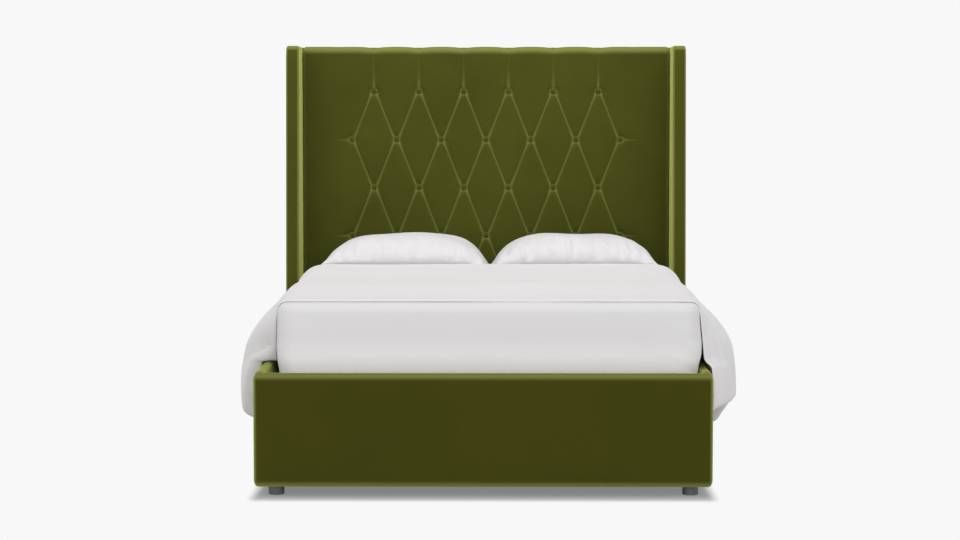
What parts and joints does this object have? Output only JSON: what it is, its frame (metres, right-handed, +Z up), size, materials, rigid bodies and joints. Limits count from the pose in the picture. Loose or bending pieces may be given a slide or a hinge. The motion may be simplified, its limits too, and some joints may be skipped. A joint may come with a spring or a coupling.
{
  "type": "wingback storage bed",
  "caption": "King-size wingback bed with a deep-buttoned headboard, a closed storage base and a platform that lifts on links and gas struts, with mattress and bedding.",
  "frame": {"origin": "on the floor, below the middle of the bed's bounding box", "axes": "+X across the bed, +Y from the foot end to the headboard, +Z up"},
  "size_m": [1.78, 2.1996, 1.622],
  "materials": {
    "velvet": "olive velvet pile",
    "lining": "woven black lining",
    "board": "fibreboard",
    "timber": "planed pine",
    "beech": "lacquered beech",
    "glide_plastic": "moulded",
    "black_plastic": "moulded",
    "bumper_rubber": "matte",
    "zinc_steel": "zinc plated",
    "black_steel": "powder coated",
    "strut_chrome": "polished",
    "mattress_fabric": "knitted ticking",
    "white_cotton": "plain cotton"
  },
  "bodies": {
    "base": {"base_pivots": "zinc_steel", "base_plate_screws": "zinc_steel", "corner_blocks": "timber", "floor_ledges": "timber", "floor_rail": "board", "footboard": "velvet", "frame_bolts": "zinc_steel", "glides": "glide_plastic", "head_brackets": "zinc_steel", "headboard_board": "board", "headboard_lining": "lining", "headboard_lower_panel": "velvet", "left_base_plate": "black_steel", "left_floor_board": "board", "left_side_rail": "velvet", "left_wing": "velvet", "platform_bumpers": "bumper_rubber", "right_base_plate": "black_steel", "right_floor_board": "board", "right_side_rail": "velvet", "right_wing": "velvet", "tufted_pad": "velvet", "tufting_buttons": "velvet", "wing_plate_screws": "zinc_steel", "wing_plates": "zinc_steel"},
    "platform": {"left_platform_side_tube": "black_steel", "right_platform_side_tube": "black_steel", "platform_end_tubes": "black_steel", "platform_centre_tube": "black_steel", "tube_caps": "black_plastic", "side_slat_holders": "black_plastic", "centre_slat_holders": "black_plastic", "sprung_slats": "beech", "left_platform_plate": "black_steel", "right_platform_plate": "black_steel", "platform_pivots": "zinc_steel", "mattress_stops": "black_steel", "pull_strap": "lining", "mattress": "mattress_fabric", "fitted_sheet": "white_cotton", "duvet": "white_cotton", "left_pillow": "white_cotton", "right_pillow": "white_cotton"},
    "rear_links": {"left_rear_link": "black_steel", "right_rear_link": "black_steel"},
    "front_links": {"left_front_link": "black_steel", "right_front_link": "black_steel"},
    "strut_tubes": {"left_strut_tube": "black_steel", "right_strut_tube": "black_steel"},
    "strut_rods": {"left_strut_rod": "strut_chrome", "right_strut_rod": "strut_chrome"}
  },
  "joints": [
    {"name": "rear_link_swing", "type": "hinge", "parent": "base", "child": "rear_links", "pos_m": [0, 0.31195, 0.3289], "axis": [1, 0, 0], "range_deg": [0, 59.39]},
    {"name": "platform_lift", "type": "hinge", "parent": "rear_links", "child": "platform", "pos_m": [0, 0.47245, 0.35163], "axis": [-1, 0, 0], "range_deg": [0, 89.38]},
    {"name": "front_link_swing", "type": "hinge", "parent": "base", "child": "front_links", "pos_m": [0, -0.21515, 0.07503], "axis": [1, 0, 0], "range_deg": [0, 27.59]},
    {"name": "strut_tube_swing", "type": "hinge", "parent": "base", "child": "strut_tubes", "pos_m": [0, 0.33515, 0.08], "axis": [1, 0, 0], "range_deg": [0, 25.75]},
    {"name": "strut_rod_swing", "type": "hinge", "parent": "platform", "child": "strut_rods", "pos_m": [0, 0.44635, 0.315], "axis": [1, 0, 0], "range_deg": [0, 55.75]}
  ],
  "couplings": [
    {"joint": "rear_link_swing", "follows": "platform_lift", "ratio": 0.66435},
    {"joint": "front_link_swing", "follows": "platform_lift", "ratio": 0.30863},
    {"joint": "strut_tube_swing", "follows": "platform_lift", "ratio": 0.28796},
    {"joint": "strut_rod_swing", "follows": "platform_lift", "ratio": 0.62361}
  ]
}
